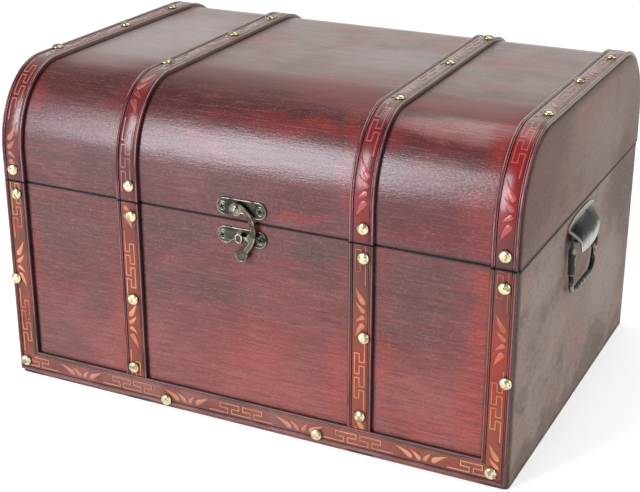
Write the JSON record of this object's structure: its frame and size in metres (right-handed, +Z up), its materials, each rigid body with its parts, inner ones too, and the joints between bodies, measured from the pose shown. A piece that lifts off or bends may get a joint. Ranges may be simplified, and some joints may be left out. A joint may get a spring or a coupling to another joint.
{
  "type": "wooden treasure chest",
  "caption": "Wooden chest with a shouldered hinged lid, embossed straps held by domed nails, a swing-hook latch and a hooded drop handle at each end.",
  "frame": {"origin": "middle of the flat base, on the floor the chest stands on", "axes": "+Z up, front with the latch towards -Y, hinges at +Y, +X to the right seen from the front"},
  "size_m": [0.4722, 0.345, 0.2784],
  "materials": {
    "cherry_wood": "dark cherry stain, worn satin lacquer",
    "brown_wood": "grey-brown stain with rubbed streaks",
    "embossed_strap": "embossed, red-brown with rubbed raised lines",
    "brass_nail": "polished",
    "antique_bronze": "antique bronze with bright worn edges"
  },
  "bodies": {
    "body": {"front_panel": "cherry_wood", "back_panel": "cherry_wood", "left_end_panel": "brown_wood", "right_end_panel": "brown_wood", "bottom_panel": "brown_wood", "front_strap_1": "embossed_strap", "front_strap_2": "embossed_strap", "front_strap_3": "embossed_strap", "front_strap_4": "embossed_strap", "base_strip": "embossed_strap", "nail_front_1_top": "brass_nail", "nail_front_1_middle": "brass_nail", "nail_front_1_low": "brass_nail", "nail_front_2_top": "brass_nail", "nail_front_2_middle": "brass_nail", "nail_front_2_low": "brass_nail", "nail_front_3_top": "brass_nail", "nail_front_3_middle": "brass_nail", "nail_front_3_low": "brass_nail", "nail_front_4_top": "brass_nail", "nail_front_4_middle": "brass_nail", "nail_front_4_low": "brass_nail", "nail_base_1": "brass_nail", "nail_base_2": "brass_nail", "keeper_plate": "antique_bronze", "hinge_leaf_body_1": "antique_bronze", "hinge_leaf_body_2": "antique_bronze", "hinge_pin_1": "antique_bronze", "hinge_pin_2": "antique_bronze", "handle_plate_left": "antique_bronze", "handle_plate_right": "antique_bronze"},
    "lid": {"lid_skin": "cherry_wood", "lid_left_end": "brown_wood", "lid_right_end": "brown_wood", "lid_strap_1": "embossed_strap", "lid_strap_2": "embossed_strap", "lid_strap_3": "embossed_strap", "lid_strap_4": "embossed_strap", "nail_lid_1_front": "brass_nail", "nail_lid_1_shoulder": "brass_nail", "nail_lid_1_top": "brass_nail", "nail_lid_1_rear": "brass_nail", "nail_lid_2_front": "brass_nail", "nail_lid_2_shoulder": "brass_nail", "nail_lid_2_top": "brass_nail", "nail_lid_2_rear": "brass_nail", "nail_lid_3_front": "brass_nail", "nail_lid_3_shoulder": "brass_nail", "nail_lid_3_top": "brass_nail", "nail_lid_3_rear": "brass_nail", "nail_lid_4_front": "brass_nail", "nail_lid_4_shoulder": "brass_nail", "nail_lid_4_top": "brass_nail", "nail_lid_4_rear": "brass_nail", "latch_plate": "antique_bronze", "hinge_leaf_lid_1": "antique_bronze", "hinge_leaf_lid_2": "antique_bronze"},
    "hook": {"swing_hook": "antique_bronze"},
    "bail_left": {"handle_bail_left": "antique_bronze"},
    "bail_right": {"handle_bail_right": "antique_bronze"}
  },
  "joints": [
    {"name": "lid_hinge", "type": "hinge", "parent": "body", "child": "lid", "pos_m": [0, 0.1689, 0.18015], "axis": [-1, 0, 0], "range_deg": [0, 105]},
    {"name": "hook_swing", "type": "hinge", "parent": "lid", "child": "hook", "pos_m": [-0.0022, -0.1688, 0.1907], "axis": [0, -1, 0], "range_deg": [0, 120]},
    {"name": "left_bail_swing", "type": "hinge", "parent": "body", "child": "bail_left", "pos_m": [-0.2299, -0.014, 0.1586], "axis": [0, 1, 0], "range_deg": [0, 100]},
    {"name": "right_bail_swing", "type": "hinge", "parent": "body", "child": "bail_right", "pos_m": [0.2299, -0.014, 0.1586], "axis": [0, -1, 0], "range_deg": [0, 100]}
  ]
}
